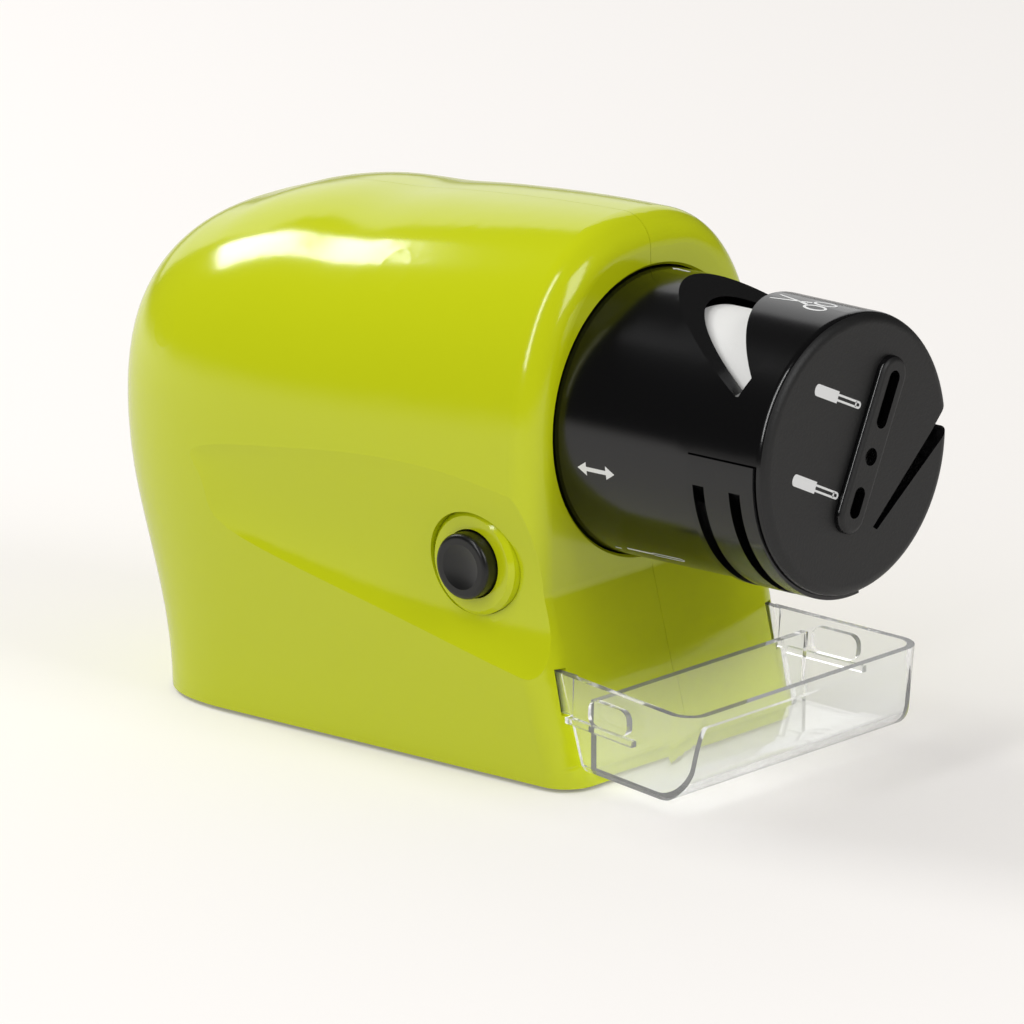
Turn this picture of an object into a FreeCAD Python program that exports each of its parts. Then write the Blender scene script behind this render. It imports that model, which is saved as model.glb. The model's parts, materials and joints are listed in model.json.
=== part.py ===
import FreeCAD, Part
import math
import os

V = FreeCAD.Vector

# Driving sizes, in millimetres. X runs from the back of the housing to the head, Z is up,
# and the push button is on the -Y side.

# Housing
ORIGIN_SHIFT = 1.25         # moves the whole object so that X = 0 is the middle of its length
AXIS_HEIGHT = 67.2          # height of the head's axis over the table
HOUSING_FRONT = 32.4        # front wall round the barrel
TOE_FRONT = 40.7            # foot of the front wall
TOE_HEIGHT = 5.0            # straight part of the foot
TOE_TOP = 37.0              # where the front wall becomes upright
DOME_START = -26.0          # where the back starts to round off
DOME_LENGTH = 61.0          # from there to the back at the widest height
BASE_DOME_START = -44.0     # the same two along the base
BASE_DOME_LENGTH = 30.6
WIDE_HEIGHT = 55.0          # height of the widest line
HALF_WIDTH = 39.0           # half width on the widest line
BASE_HALF_WIDTH = 33.4      # half width along the base
FRONT_HALF_WIDTH = 34.0     # half width at the front wall
ROOF_RISE = 43.5            # widest line to the roof where the back starts
ROOF_CLIMB_START = 0.38     # how far into the rounded back the roof starts to climb
FRONT_ROOF_RISE = 50.0      # widest line to the top of the front wall
ARCH_POWER = 2.5            # squareness of the arch over the width
BACK_POWER = 3.0            # squareness of the rounded back
HOUSING_GAP = 0.8           # lower edge of the shells over the table
HOUSING_WALL = 2.3
FRONT_EDGE_ROUND = 6.5
BORE_GAP = 0.35             # round the barrel in the front wall
BORE_EDGE_ROUND = 0.5
SEAT = 0.1                  # between fixed pieces that are not glued
PARTING_GAP = 0.1           # between the two shells

# Side scallop
SCALLOP_BACK = -52.0
SCALLOP_FRONT_DEPTH = 4.2
SCALLOP_BACK_DEPTH = -0.6   # it has faded out there
SCALLOP_FRONT_LOW = 20.5
SCALLOP_FRONT_HIGH = 59.0
SCALLOP_BACK_LOW = 39.5
SCALLOP_BACK_HIGH = 53.0

# Head
HEAD_FACE = 83.0            # front face of the barrel
BARREL_RADIUS = 27.5        # where it leaves the housing
BARREL_FRONT_RADIUS = 27.1
BARREL_WALL = 3.4
BARREL_BACK = 27.4
FACE_WALL = 3.0
FACE_EDGE_ROUND = 2.2
NOTCH_BACK_SLOPE = 1.86     # backward run of the notch's rear face for each mm of height
NOTCH_BACK_FOOT = 9.4
NOTCH_FRONT_SLOPE = 1.01
NOTCH_FRONT_FOOT = 5.7
NOTCH_BACK_SKEW = 0.31
NOTCH_FRONT_SKEW = 0.19
NOTCH_FLOOR = 14.4          # lowest point of the notch over the axis
NOTCH_KNEE = 17.7           # where its front face turns down to the floor
NOTCH_FLOOR_RUN = 0.8
GUIDE_BACK = 65.0
GUIDE_FRONT = 81.0
GUIDE_CENTRE_ANGLE = -45.0  # from -Y towards +Z
GUIDE_HALF_ANGLE = 51.0
GUIDE_PROUD = 0.3
GUIDE_GAP = 0.25
GUIDE_SLOT_WIDTH = 2.7
GUIDE_SLOT_DEPTH = 21.5     # slot floor over the axis
GUIDE_SLOTS = (67.6, 76.4)
BAR_LENGTH = 34.7
BAR_MIDDLE = 2.2            # its middle from the screw, along the bar
BAR_WIDTH = 7.6
BAR_HEIGHT = 1.6
BAR_EDGE_ROUND = 1.1
BAR_TILT = 26.2             # from upright, top towards +Y
BAR_Y = 2.2                 # the screw's place on the face
BAR_Z = -0.5
LONG_SLOT = 11.3
LONG_SLOT_MIDDLE = 11.2
SHORT_SLOT = 6.1
SHORT_SLOT_MIDDLE = -9.0
TOOL_SLOT_WIDTH = 3.0
EYE_RADIUS = 1.7
EYE_HEAD_RADIUS = 2.8

# Stone and drive
STONE_BACK = 45.0
STONE_FRONT = 73.0
STONE_RADIUS = 22.6
STONE_BEVEL = 2.0
STONE_BORE = 9.0
SPINDLE_RADIUS = 3.0
SPINDLE_BACK = 14.0
SPINDLE_FRONT = 78.0
RUNNING_GAP = 0.05
SHAFT_RADIUS = 1.15
MOTOR_RADIUS = 13.9
MOTOR_BACK = -34.0
MOTOR_FRONT = 4.0
COUPLING_RADIUS = 6.5
COUPLING_BACK = 7.6
COUPLING_FRONT = 20.4
COLLAR_BACK = 24.0
COLLAR_FLANGE = 3.0
COLLAR_FLANGE_RADIUS = 31.0
COLLAR_FRONT = 40.0
COLLAR_WALL = 2.2
COLLAR_PEG_RADIUS = 1.2      # pegs between the collar's flange and the front wall
CLICKS = 8                  # rest positions per turn
CLICK_RADIUS = 1.3
CLICK_NOSE = 1.0

# Button
BUTTON_X = 17.0
BUTTON_Z = 41.6
BEZEL_FACE = -34.2
BEZEL_RADIUS = 10.1
BEZEL_DEPTH = 6.8
BUTTON_RADIUS = 6.4
BUTTON_FACE = -37.4
BUTTON_TRAVEL = 2.0
SWITCH_FRONT = BEZEL_FACE + BEZEL_DEPTH
CAP_BACK = BEZEL_FACE + 3.2
CAP_GAP = 0.3               # round the cap in its ring
STEM_END = SWITCH_FRONT - BUTTON_TRAVEL - 0.4
SWITCH_DEPTH = 10.5
SWITCH_SIZE = 12.0

# Base and batteries
CELL_RADIUS = 7.2
CELL_LENGTH = 50.5
CELL_PITCH = 14.8
CELL_COUNT = 4
CELL_MIDDLE_X = -16.0
CELL_AXIS_HEIGHT = 11.6
PLATE_THICKNESS = 2.0
PLATE_FLOOR = 1.1           # underside of the base plate over the table
BAY_WALL = 1.2
BAY_GAP = 0.2               # beside and over the cells
BAY_SPRING_ROOM = 4.6
DOOR_HINGE_INSET = 1.2
DOOR_HINGE_RADIUS = 0.85
FOOT_RADIUS = 4.5
FOOT_X = (-58.0, 27.0)
FOOT_Y = 22.0

# Tray
TRAY_DROOP = 3.5
TRAY_BACK = 44.2
TRAY_FRONT = 71.4
TRAY_SIDE_BACK = 33.0       # the side walls run on back to the front wall
TRAY_WALL_GAP = 0.7         # between the side walls and the front wall
TRAY_FLOOR_FRONT = 70.6
TRAY_NOSE_ROUND = 8.5
TRAY_RIM = 23.3
TRAY_FLOOR = 5.2
TRAY_BACK_HALF = 30.9
TRAY_FRONT_HALF = 34.7
TRAY_FLOOR_SLOPE = 1.1       # how much narrower each side is at the floor
TRAY_WALL = 1.5
TRAY_BACK_WALL_DROP = 3.2
ARM_LENGTH = 16.5           # part of an arm inside the housing
ARM_LOW = 15.6
ARM_GAP = 0.45

# Screws
SCREW_RADIUS = 1.45
SCREW_HEAD_RADIUS = 2.8
SCREW_HEAD_HEIGHT = 1.8
BOSS_RADIUS = 3.6
CASE_SCREWS = ((-62.0, 74.0), (-66.0, 34.0), (-8.0, 93.0), (24.0, 12.0))
CASE_SCREW_SINK = 14.0      # screw heads from the middle plane
CASE_SCREW_REACH = 9.0
BASE_SCREWS = ((-62.0, 11.0), (32.0, 12.0))
BASE_SCREW_TOP = 11.0
BASE_SCREW_HEAD = 1.0        # head height, sunk in the base plate


def save(node, shape):
    placed = shape.copy()
    placed.translate(V(ORIGIN_SHIFT, 0, 0))
    placed.exportStep("parts/" + node + ".step")


def box(x0, x1, y0, y1, z0, z1):
    return Part.makeBox(x1 - x0, y1 - y0, z1 - z0, V(x0, y0, z0))


def rod_x(radius, x0, x1, y=0.0, z=AXIS_HEIGHT):
    return Part.makeCylinder(radius, x1 - x0, V(x0, y, z), V(1, 0, 0))


def rod_y(radius, y0, y1, x, z):
    return Part.makeCylinder(radius, y1 - y0, V(x, y0, z), V(0, 1, 0))


def rod_z(radius, z0, z1, x, y):
    return Part.makeCylinder(radius, z1 - z0, V(x, y, z0), V(0, 0, 1))


def cone_x(radius0, radius1, x0, x1):
    return Part.makeCone(radius0, radius1, x1 - x0, V(x0, 0, AXIS_HEIGHT), V(1, 0, 0))


def prism_y(points, y0, y1):
    wire = Part.makePolygon([V(x, y0, z) for x, z in points + points[:1]])
    return Part.Face(wire).extrude(V(0, y1 - y0, 0))


def turned_x(points):
    wire = Part.makePolygon([V(x, 0, AXIS_HEIGHT + r) for x, r in points + points[:1]])
    return Part.Face(wire).revolve(V(0, 0, AXIS_HEIGHT), V(1, 0, 0), 360)


def mirrored(shape):
    return shape.mirror(V(0, 0, 0), V(0, 1, 0))


# Housing surface

ROWS_FRONT = 7
ROWS_BACK = 11
ROWS_LOW = 6
ROWS_ARCH = 10
OVERRUN = 12.0              # the surface runs past the front wall and the base
FRONT_OVER = OVERRUN / (HOUSING_FRONT - DOME_START)


def housing_point(along, over, inset):
    # along: -1 at the front wall, 0 where the back starts, 1 at the far back
    # over: -1 at the base, 0 on the widest line, 1 on the middle plane
    turn = max(along, 0.0) * math.pi / 2
    lift = max(over, 0.0) * math.pi / 2
    to_front = max(-along, 0.0)
    to_base = max(-over, 0.0)
    back = math.sin(turn) * math.sqrt(1 - math.sin(lift) ** 2 / 2)
    side = math.cos(turn) * math.cos(lift)
    up = math.sin(lift) * math.sqrt(1 - math.sin(turn) ** 2 / 2)
    bulge = (1 + math.cos(math.pi * min(to_base, 1.0))) / 2
    front_share = min(to_front, 1.3) ** 2
    half = HALF_WIDTH - (HALF_WIDTH - FRONT_HALF_WIDTH) * front_share * bulge
    half = BASE_HALF_WIDTH + (half - BASE_HALF_WIDTH) * bulge - inset
    start = BASE_DOME_START + (DOME_START - BASE_DOME_START) * bulge
    length = BASE_DOME_LENGTH + (DOME_LENGTH - BASE_DOME_LENGTH) * bulge - inset
    climbed = (ROOF_CLIMB_START - along) / (ROOF_CLIMB_START + 1)
    climb = math.sin(math.pi / 2 * min(max(climbed, 0.0), 1.0))
    rise = ROOF_RISE + (FRONT_ROOF_RISE - ROOF_RISE) * climb - inset
    ahead = HOUSING_FRONT + OVERRUN - start
    x = start + ahead * to_front / (1 + FRONT_OVER) - length * back ** (2 / BACK_POWER)
    y = -half * max(side, 0.0) ** (2 / ARCH_POWER)
    z = WIDE_HEIGHT * (1 - to_base) + rise * up ** (2 / ARCH_POWER)
    return V(x, y, z)


def housing_half(inset):
    # near half of the loaf, open to the middle plane, made solid with three flat faces
    base_over = OVERRUN / WIDE_HEIGHT
    alongs = [-(1 + FRONT_OVER) * (1 - i / ROWS_FRONT) for i in range(ROWS_FRONT)]
    alongs += [i / ROWS_BACK for i in range(ROWS_BACK + 1)]
    overs = [-(1 + base_over) * (1 - i / ROWS_LOW) for i in range(ROWS_LOW)]
    overs += [i / ROWS_ARCH for i in range(ROWS_ARCH + 1)]
    grid = [[housing_point(a, o, inset) for o in overs] for a in alongs]
    surface = Part.BSplineSurface()
    surface.interpolate(grid)
    skin = surface.toShape()
    u0, u1, v0, v1 = surface.bounds()
    front = surface.uIso(u0).toShape()
    back = surface.uIso(u1).toShape()
    low = surface.vIso(v0).toShape()
    top = surface.vIso(v1).toShape()
    front_top = front.valueAt(front.LastParameter)
    front_low = front.valueAt(front.FirstParameter)
    back_low = back.valueAt(back.FirstParameter)
    front_foot = V(front_top.x, 0, front_low.z)
    rise = Part.makeLine(front_foot, front_top)
    across = Part.makeLine(front_low, front_foot)
    run = Part.makeLine(back_low, front_foot)
    front_face = Part.Face(Part.Wire(Part.__sortEdges__([front, rise, across])))
    middle_face = Part.Face(Part.Wire(Part.__sortEdges__([top, back, run, rise])))
    base_face = Part.Face(Part.Wire(Part.__sortEdges__([low, run, across])))
    shell = Part.Shell([skin, front_face, middle_face, base_face])
    shell.sewShape()
    solid = Part.Solid(shell)
    solid.fix(0.01, 0.01, 0.01)
    if solid.Volume < 0:
        solid.reverse()
    return solid


def front_block(inset):
    # everything ahead of the front wall and below the lower edge
    big = 200.0
    wall = HOUSING_FRONT - inset
    toe = TOE_FRONT - inset
    points = [(wall, big), (wall, TOE_TOP), (toe, TOE_HEIGHT), (toe, -big), (big, -big), (big, big)]
    ahead = prism_y(points, -big, big)
    below = box(-big, big, -big, big, -big, HOUSING_GAP)
    return ahead, below


def scallop_outline(x, low, high, depth):
    # crisp lower edge, deepest near it, fading out softly at the top
    side = housing_side(x, low + (high - low) / 2)
    tall = high - low
    curve = Part.BSplineCurve()
    curve.interpolate([
        V(x, -(side + 3.0), low - 3.0),
        V(x, -(side - 0.72 * depth), low + 0.16 * tall),
        V(x, -(side - depth), low + 0.42 * tall),
        V(x, -(side - 0.6 * depth), low + 0.7 * tall),
        V(x, -(side - 0.22 * depth), low + 0.87 * tall),
        V(x, -(side + 0.35), high + 0.04 * tall),
        V(x, -(side + 2.6), high + 0.26 * tall),
    ])
    edge = curve.toShape()
    outer = V(x, -(side + 22.0), high + 0.26 * tall)
    foot = V(x, -(side + 22.0), low - 3.0)
    start = edge.valueAt(edge.FirstParameter)
    end = edge.valueAt(edge.LastParameter)
    return Part.Wire([edge, Part.makeLine(end, outer), Part.makeLine(outer, foot), Part.makeLine(foot, start)])


def housing_side(x, z):
    # half width of the outside at a place on the side wall
    to_front = max(0.0, (x - DOME_START) / (HOUSING_FRONT - DOME_START))
    to_base = max(0.0, 1 - z / WIDE_HEIGHT)
    bulge = (1 + math.cos(math.pi * min(to_base, 1.0))) / 2
    half = HALF_WIDTH - (HALF_WIDTH - FRONT_HALF_WIDTH) * to_front ** 2 * bulge
    half = BASE_HALF_WIDTH + (half - BASE_HALF_WIDTH) * bulge
    back_share = max(0.0, (DOME_START - x) / DOME_LENGTH)
    return half * (1 - back_share ** BACK_POWER) ** (1 / BACK_POWER)


def scallop():
    stations = 5
    wires = []
    for i in range(stations):
        t = i / (stations - 1)
        x = SCALLOP_BACK + t * (HOUSING_FRONT + OVERRUN - SCALLOP_BACK)
        low = SCALLOP_FRONT_LOW + (SCALLOP_BACK_LOW - SCALLOP_FRONT_LOW) * (1 - t) ** 1.9
        high = SCALLOP_BACK_HIGH + (SCALLOP_FRONT_HIGH - SCALLOP_BACK_HIGH) * (1 - (1 - t) ** 2)
        depth = SCALLOP_BACK_DEPTH + (SCALLOP_FRONT_DEPTH - SCALLOP_BACK_DEPTH) * t ** 0.5
        wires.append(scallop_outline(x, low, high, depth))
    return Part.makeLoft(wires, True, False)


def housing_outside():
    _, below = front_block(0.0)
    return rounded_half(0.0).cut(scallop()).cut(below)


def is_front_edge(edge, inset):
    # the edge between the front wall, with its toe, and the side or roof
    middle = edge.valueAt((edge.FirstParameter + edge.LastParameter) / 2)
    if middle.z < 1.0 - OVERRUN or abs(middle.y) < 1.0:
        return False
    span = edge.BoundBox
    at_front = span.XMin > HOUSING_FRONT - inset - 1.0 and span.XMax < TOE_FRONT + 1.0
    return at_front and span.YLength + span.ZLength > 3.0


def rounded_half(inset):
    # the near half of the loaf behind the front wall, with its front edge rounded
    ahead, _ = front_block(inset)
    solid = housing_half(inset).cut(ahead)
    edges = [e for e in solid.Edges if is_front_edge(e, inset)]
    return solid.makeFillet(FRONT_EDGE_ROUND - inset, edges)


def housing_inside():
    solid = rounded_half(HOUSING_WALL)
    bulged = scallop()
    bulged.translate(V(0, HOUSING_WALL, 0))
    return solid.cut(bulged)


def case_boss(x, z, far):
    return rod_y(BOSS_RADIUS, -far, 0, x, z)


def base_screw_blocks():
    # one block grows from the back wall and one from the front wall
    low = PLATE_FLOOR + PLATE_THICKNESS
    high = BASE_SCREW_TOP + 1.5
    (back_x, back_y), (front_x, front_y) = BASE_SCREWS
    back = box(-150.0, back_x + BOSS_RADIUS, -back_y - BOSS_RADIUS, -back_y + BOSS_RADIUS, low, high)
    front = box(front_x - BOSS_RADIUS, 150.0, -front_y - BOSS_RADIUS, -front_y + BOSS_RADIUS, low, high)
    return back, front


def near_half():
    outside = housing_outside()
    inside = housing_inside()
    shell = outside.cut(inside)
    far = HALF_WIDTH + 5.0
    for x, z in CASE_SCREWS:
        shell = shell.fuse(case_boss(x, z, far).common(outside))
    for block in base_screw_blocks():
        shell = shell.fuse(block.common(outside))
    for x, y in BASE_SCREWS:
        shell = shell.cut(rod_z(SCREW_RADIUS, 0.0, BASE_SCREW_TOP, x, -y))
    return cut_front(shell)


def cut_front(shell):
    bore_radius = BARREL_RADIUS + BORE_GAP
    wall_back = HOUSING_FRONT - HOUSING_WALL
    bore = rod_x(bore_radius, wall_back - 1.0, HOUSING_FRONT + 1.0)
    flare = cone_x(bore_radius, bore_radius + BORE_EDGE_ROUND,
                   HOUSING_FRONT - BORE_EDGE_ROUND, HOUSING_FRONT)
    parting = box(-150.0, 150.0, -PARTING_GAP / 2, 150.0, -150.0, 150.0)
    shell = shell.cut(bore.fuse(flare)).cut(parting)
    return shell.cut(arm_slot())


def arm_slot():
    outer = TRAY_BACK_HALF + ARM_GAP
    inner = TRAY_BACK_HALF - TRAY_WALL - ARM_GAP
    low = ARM_LOW - ARM_GAP
    high = TRAY_RIM + ARM_GAP
    slot = box(TRAY_BACK - ARM_LENGTH - 12.0, TRAY_BACK + 10.0, -outer, -inner, low, high)
    return drooped(slot)


def drooped(shape):
    turned = shape.copy()
    turned.rotate(V(HOUSING_FRONT, 0, TRAY_RIM), V(0, 1, 0), TRAY_DROOP)
    return turned


def left_shell():
    shell = near_half()
    hole = rod_y(BEZEL_RADIUS + SEAT, -60.0, BEZEL_FACE + BEZEL_DEPTH + 1.0, BUTTON_X, BUTTON_Z)
    shell = shell.cut(hole)
    rim = rod_y(BEZEL_RADIUS + SEAT + 1.6, BEZEL_FACE + 1.6, BEZEL_FACE + BEZEL_DEPTH, BUTTON_X, BUTTON_Z)
    rim = rim.cut(rod_y(BEZEL_RADIUS + SEAT, -60.0, 0.0, BUTTON_X, BUTTON_Z))
    shell = shell.fuse(rim.common(housing_outside()))
    for x, z in CASE_SCREWS:
        pilot = rod_y(SCREW_RADIUS, -CASE_SCREW_REACH - 1.0, 1.0, x, z)
        shell = shell.cut(pilot)
    return shell


def right_shell():
    shell = mirrored(near_half())
    for x, z in CASE_SCREWS:
        shell = shell.cut(rod_y(SCREW_RADIUS + SEAT, -1.0, CASE_SCREW_SINK + 1.0, x, z))
        shell = shell.cut(rod_y(SCREW_HEAD_RADIUS + 0.3, CASE_SCREW_SINK, 60.0, x, z))
    return shell


def cross_head_screw_y(x, z, head_y, reach_y):
    shank = rod_y(SCREW_RADIUS, reach_y, head_y, x, z)
    head = rod_y(SCREW_HEAD_RADIUS, head_y, head_y + SCREW_HEAD_HEIGHT, x, z)
    slot = box(x - 1.9, x + 1.9, head_y + 1.0, head_y + 3.0, z - 0.35, z + 0.35)
    cross = slot.fuse(box(x - 0.35, x + 0.35, head_y + 1.0, head_y + 3.0, z - 1.9, z + 1.9))
    return shank.fuse(head).cut(cross)


def case_screws():
    screws = [cross_head_screw_y(x, z, CASE_SCREW_SINK, -CASE_SCREW_REACH) for x, z in CASE_SCREWS]
    return Part.makeCompound(screws)


# Head

def notch():
    # wedge between two slanted planes that lean back towards the housing
    big = 60.0

    def back_x(y, z):
        return HEAD_FACE + NOTCH_BACK_FOOT - NOTCH_BACK_SKEW * y - NOTCH_BACK_SLOPE * z

    def front_x(y, z):
        return HEAD_FACE + NOTCH_FRONT_FOOT - NOTCH_FRONT_SKEW * y - NOTCH_FRONT_SLOPE * z

    def section(y):
        high = 34.0
        foot = back_x(y, NOTCH_FLOOR)
        corners = [(foot, NOTCH_FLOOR), (foot + NOTCH_FLOOR_RUN, NOTCH_FLOOR),
                   (front_x(y, NOTCH_KNEE), NOTCH_KNEE), (front_x(y, high), high), (back_x(y, high), high)]
        points = [V(x, y, AXIS_HEIGHT + z) for x, z in corners]
        return Part.makePolygon(points + points[:1])

    return Part.makeLoft([section(-big / 2), section(big / 2)], True, True)


def guide_window(grow, proud):
    # sector of the barrel wall that the knife guide fills
    inner = barrel_inner()
    ring = rod_x(BARREL_RADIUS + proud, GUIDE_BACK - grow, GUIDE_FRONT + grow)
    ring = ring.cut(rod_x(inner, GUIDE_BACK - 5.0, GUIDE_FRONT + 5.0))
    half = GUIDE_HALF_ANGLE + math.degrees(grow / BARREL_RADIUS)
    return ring.common(sector(half, GUIDE_BACK - 5.0, GUIDE_FRONT + 5.0))


def sector(half_angle, x0, x1):
    reach = 60.0
    centre = math.radians(GUIDE_CENTRE_ANGLE)
    points = [V(x0, 0, AXIS_HEIGHT)]
    steps = 4
    for i in range(steps + 1):
        angle = centre + math.radians(half_angle) * (2 * i / steps - 1)
        points.append(V(x0, -reach * math.cos(angle), AXIS_HEIGHT + reach * math.sin(angle)))
    wire = Part.makePolygon(points + points[:1])
    return Part.Face(wire).extrude(V(x1 - x0, 0, 0))


def barrel_inner():
    return BARREL_RADIUS - BARREL_WALL


def bar_place(shape):
    placed = shape.copy()
    placed.rotate(V(0, 0, 0), V(1, 0, 0), -BAR_TILT)
    placed.translate(V(0, BAR_Y, AXIS_HEIGHT + BAR_Z))
    return placed


def obround(width, length, x0, x1, middle):
    # upright slot shape in the YZ plane, extruded along X
    half = (length - width) / 2
    ends = [rod_x(width / 2, x0, x1, 0.0, middle + s * half) for s in (-1, 1)]
    body = box(x0, x1, -width / 2, width / 2, middle - half, middle + half)
    return body.fuse(ends[0]).fuse(ends[1]).removeSplitter()


def diagonal_slot():
    # wedge slot from low on the face out to the rim, with a flared mouth
    x0 = HEAD_FACE - 7.0
    x1 = HEAD_FACE + 4.0
    points = [(4.6, -14.9), (21.6, 0.0), (26.6, 5.0), (30.0, 8.4), (30.0, 1.6), (26.9, -0.4), (5.8, -15.6)]
    wire = Part.makePolygon([V(x0, y, AXIS_HEIGHT + z) for y, z in points + points[:1]])
    return Part.Face(wire).extrude(V(x1 - x0, 0, 0))


def head_barrel():
    inner = barrel_inner()
    body = cone_x(BARREL_RADIUS, BARREL_FRONT_RADIUS, HOUSING_FRONT, HEAD_FACE)
    rim = [e for e in body.Edges if e.BoundBox.XMin > HEAD_FACE - 0.1]
    body = body.makeFillet(FACE_EDGE_ROUND, rim)
    body = body.fuse(rod_x(BARREL_RADIUS, BARREL_BACK, HOUSING_FRONT))
    body = body.cut(rod_x(inner, BARREL_BACK - 1.0, HEAD_FACE - FACE_WALL))
    bar = obround(BAR_WIDTH, BAR_LENGTH, HEAD_FACE - 1.0, HEAD_FACE + BAR_HEIGHT, BAR_MIDDLE)
    top = [e for e in bar.Edges if e.BoundBox.XMin > HEAD_FACE + BAR_HEIGHT - 0.1]
    body = body.fuse(bar_place(bar.makeFillet(BAR_EDGE_ROUND, top)))
    eye = rod_x(EYE_HEAD_RADIUS + 1.6, HEAD_FACE - FACE_WALL - 2.0, HEAD_FACE - 1.0, 0.0, 0.0)
    body = body.fuse(bar_place(eye))
    x0 = HEAD_FACE - FACE_WALL - 1.0
    x1 = HEAD_FACE + BAR_HEIGHT + 1.0
    for length, middle in ((LONG_SLOT, LONG_SLOT_MIDDLE), (SHORT_SLOT, SHORT_SLOT_MIDDLE)):
        body = body.cut(bar_place(obround(TOOL_SLOT_WIDTH, length, x0, x1, middle)))
    body = body.cut(bar_place(rod_x(EYE_RADIUS, HEAD_FACE - 2.0, x1, 0.0, 0.0)))
    body = body.cut(bar_place(rod_x(SCREW_RADIUS, x0 - 2.0, HEAD_FACE, 0.0, 0.0)))
    body = body.cut(diagonal_slot())
    body = body.cut(notch())
    body = body.cut(guide_window(GUIDE_GAP, 3.0))
    for k in range(CLICKS):
        click = rod_x(CLICK_RADIUS, BARREL_BACK - 1.0, BARREL_BACK + 2.4, 0.0, AXIS_HEIGHT + BARREL_RADIUS)
        click.rotate(V(0, 0, AXIS_HEIGHT), V(1, 0, 0), k * 360.0 / CLICKS)
        body = body.cut(click)
    return body.removeSplitter()


def knife_guide():
    body = guide_window(0.0, GUIDE_PROUD)
    for x in GUIDE_SLOTS:
        slot = box(x - GUIDE_SLOT_WIDTH / 2, x + GUIDE_SLOT_WIDTH / 2, -60.0, 60.0, GUIDE_SLOT_DEPTH, 60.0)
        slot.rotate(V(0, 0, 0), V(1, 0, 0), 90.0 - GUIDE_CENTRE_ANGLE)
        slot.translate(V(0, 0, AXIS_HEIGHT))
        body = body.cut(slot)
    return body


def head_screw():
    shank = rod_x(SCREW_RADIUS, HEAD_FACE - FACE_WALL - 1.6, HEAD_FACE - 1.9, 0.0, 0.0)
    head = rod_x(EYE_RADIUS - 0.05, HEAD_FACE - 2.0, HEAD_FACE - 0.8, 0.0, 0.0)
    slot = box(HEAD_FACE - 1.3, HEAD_FACE, -0.3, 0.3, -1.2, 1.2)
    cross = slot.fuse(box(HEAD_FACE - 1.3, HEAD_FACE, -1.2, 1.2, -0.3, 0.3))
    return bar_place(shank.fuse(head).cut(cross))


def head_collar():
    tube = rod_x(barrel_inner() - RUNNING_GAP, COLLAR_BACK, COLLAR_FRONT)
    tube = tube.cut(rod_x(barrel_inner() - RUNNING_GAP - COLLAR_WALL, COLLAR_BACK + COLLAR_FLANGE, COLLAR_FRONT + 1))
    flange = rod_x(COLLAR_FLANGE_RADIUS, COLLAR_BACK, COLLAR_BACK + COLLAR_FLANGE)
    boss = rod_x(SPINDLE_RADIUS + 5.0, COLLAR_BACK, COLLAR_FRONT - 3.0)
    body = tube.fuse(flange).fuse(boss)
    for k in range(6):
        rib = box(COLLAR_BACK, COLLAR_FRONT - 4.0, -0.8, 0.8, SPINDLE_RADIUS + 4.0, barrel_inner() - 1.0)
        rib.rotate(V(0, 0, 0), V(1, 0, 0), 60.0 * k)
        rib.translate(V(0, 0, AXIS_HEIGHT))
        body = body.fuse(rib)
    for k in (60, 120, 240, 300):
        angle = math.radians(k)
        reach = COLLAR_FLANGE_RADIUS - COLLAR_PEG_RADIUS - 0.3
        peg = rod_x(COLLAR_PEG_RADIUS, COLLAR_BACK + COLLAR_FLANGE - 0.5, HOUSING_FRONT - HOUSING_WALL,
                    reach * math.cos(angle), AXIS_HEIGHT + reach * math.sin(angle))
        body = body.fuse(peg)
    body = body.cut(rod_x(SPINDLE_RADIUS + 2.0, COLLAR_BACK - 1, COLLAR_FRONT + 1))
    top = AXIS_HEIGHT + BARREL_RADIUS
    window = box(COLLAR_BACK - 1, COLLAR_BACK + COLLAR_FLANGE + 1, -1.5, 1.5, top - 1.5, top + 10.0)
    return body.cut(window).removeSplitter()


def spindle_bush():
    ring = rod_x(SPINDLE_RADIUS + 2.0, COLLAR_BACK, COLLAR_FRONT - 3.0)
    return ring.cut(rod_x(SPINDLE_RADIUS + RUNNING_GAP, COLLAR_BACK - 1, COLLAR_FRONT))


# Stone and drive

def grinding_stone():
    profile = [(STONE_BACK, STONE_BORE), (STONE_BACK, STONE_RADIUS - STONE_BEVEL),
               (STONE_BACK + STONE_BEVEL, STONE_RADIUS), (STONE_FRONT - STONE_BEVEL, STONE_RADIUS),
               (STONE_FRONT, STONE_RADIUS - STONE_BEVEL), (STONE_FRONT, STONE_BORE)]
    return turned_x(profile)


def stone_hub():
    profile = [(STONE_BACK - 3.0, SPINDLE_RADIUS), (STONE_BACK - 3.0, STONE_BORE + 4.0),
               (STONE_BACK, STONE_BORE + 4.0), (STONE_BACK, STONE_BORE),
               (STONE_FRONT, STONE_BORE), (STONE_FRONT, SPINDLE_RADIUS)]
    return turned_x(profile)


def hub_nut():
    nut = Part.Face(Part.makePolygon([V(STONE_FRONT, 5.2 * math.cos(math.radians(60 * k)),
                                        AXIS_HEIGHT + 5.2 * math.sin(math.radians(60 * k)))
                                      for k in range(7)])).extrude(V(2.6, 0, 0))
    return nut.cut(rod_x(SPINDLE_RADIUS, STONE_FRONT - 1, STONE_FRONT + 4))


def spindle():
    return rod_x(SPINDLE_RADIUS, SPINDLE_BACK, SPINDLE_FRONT - 1.6)


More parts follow.
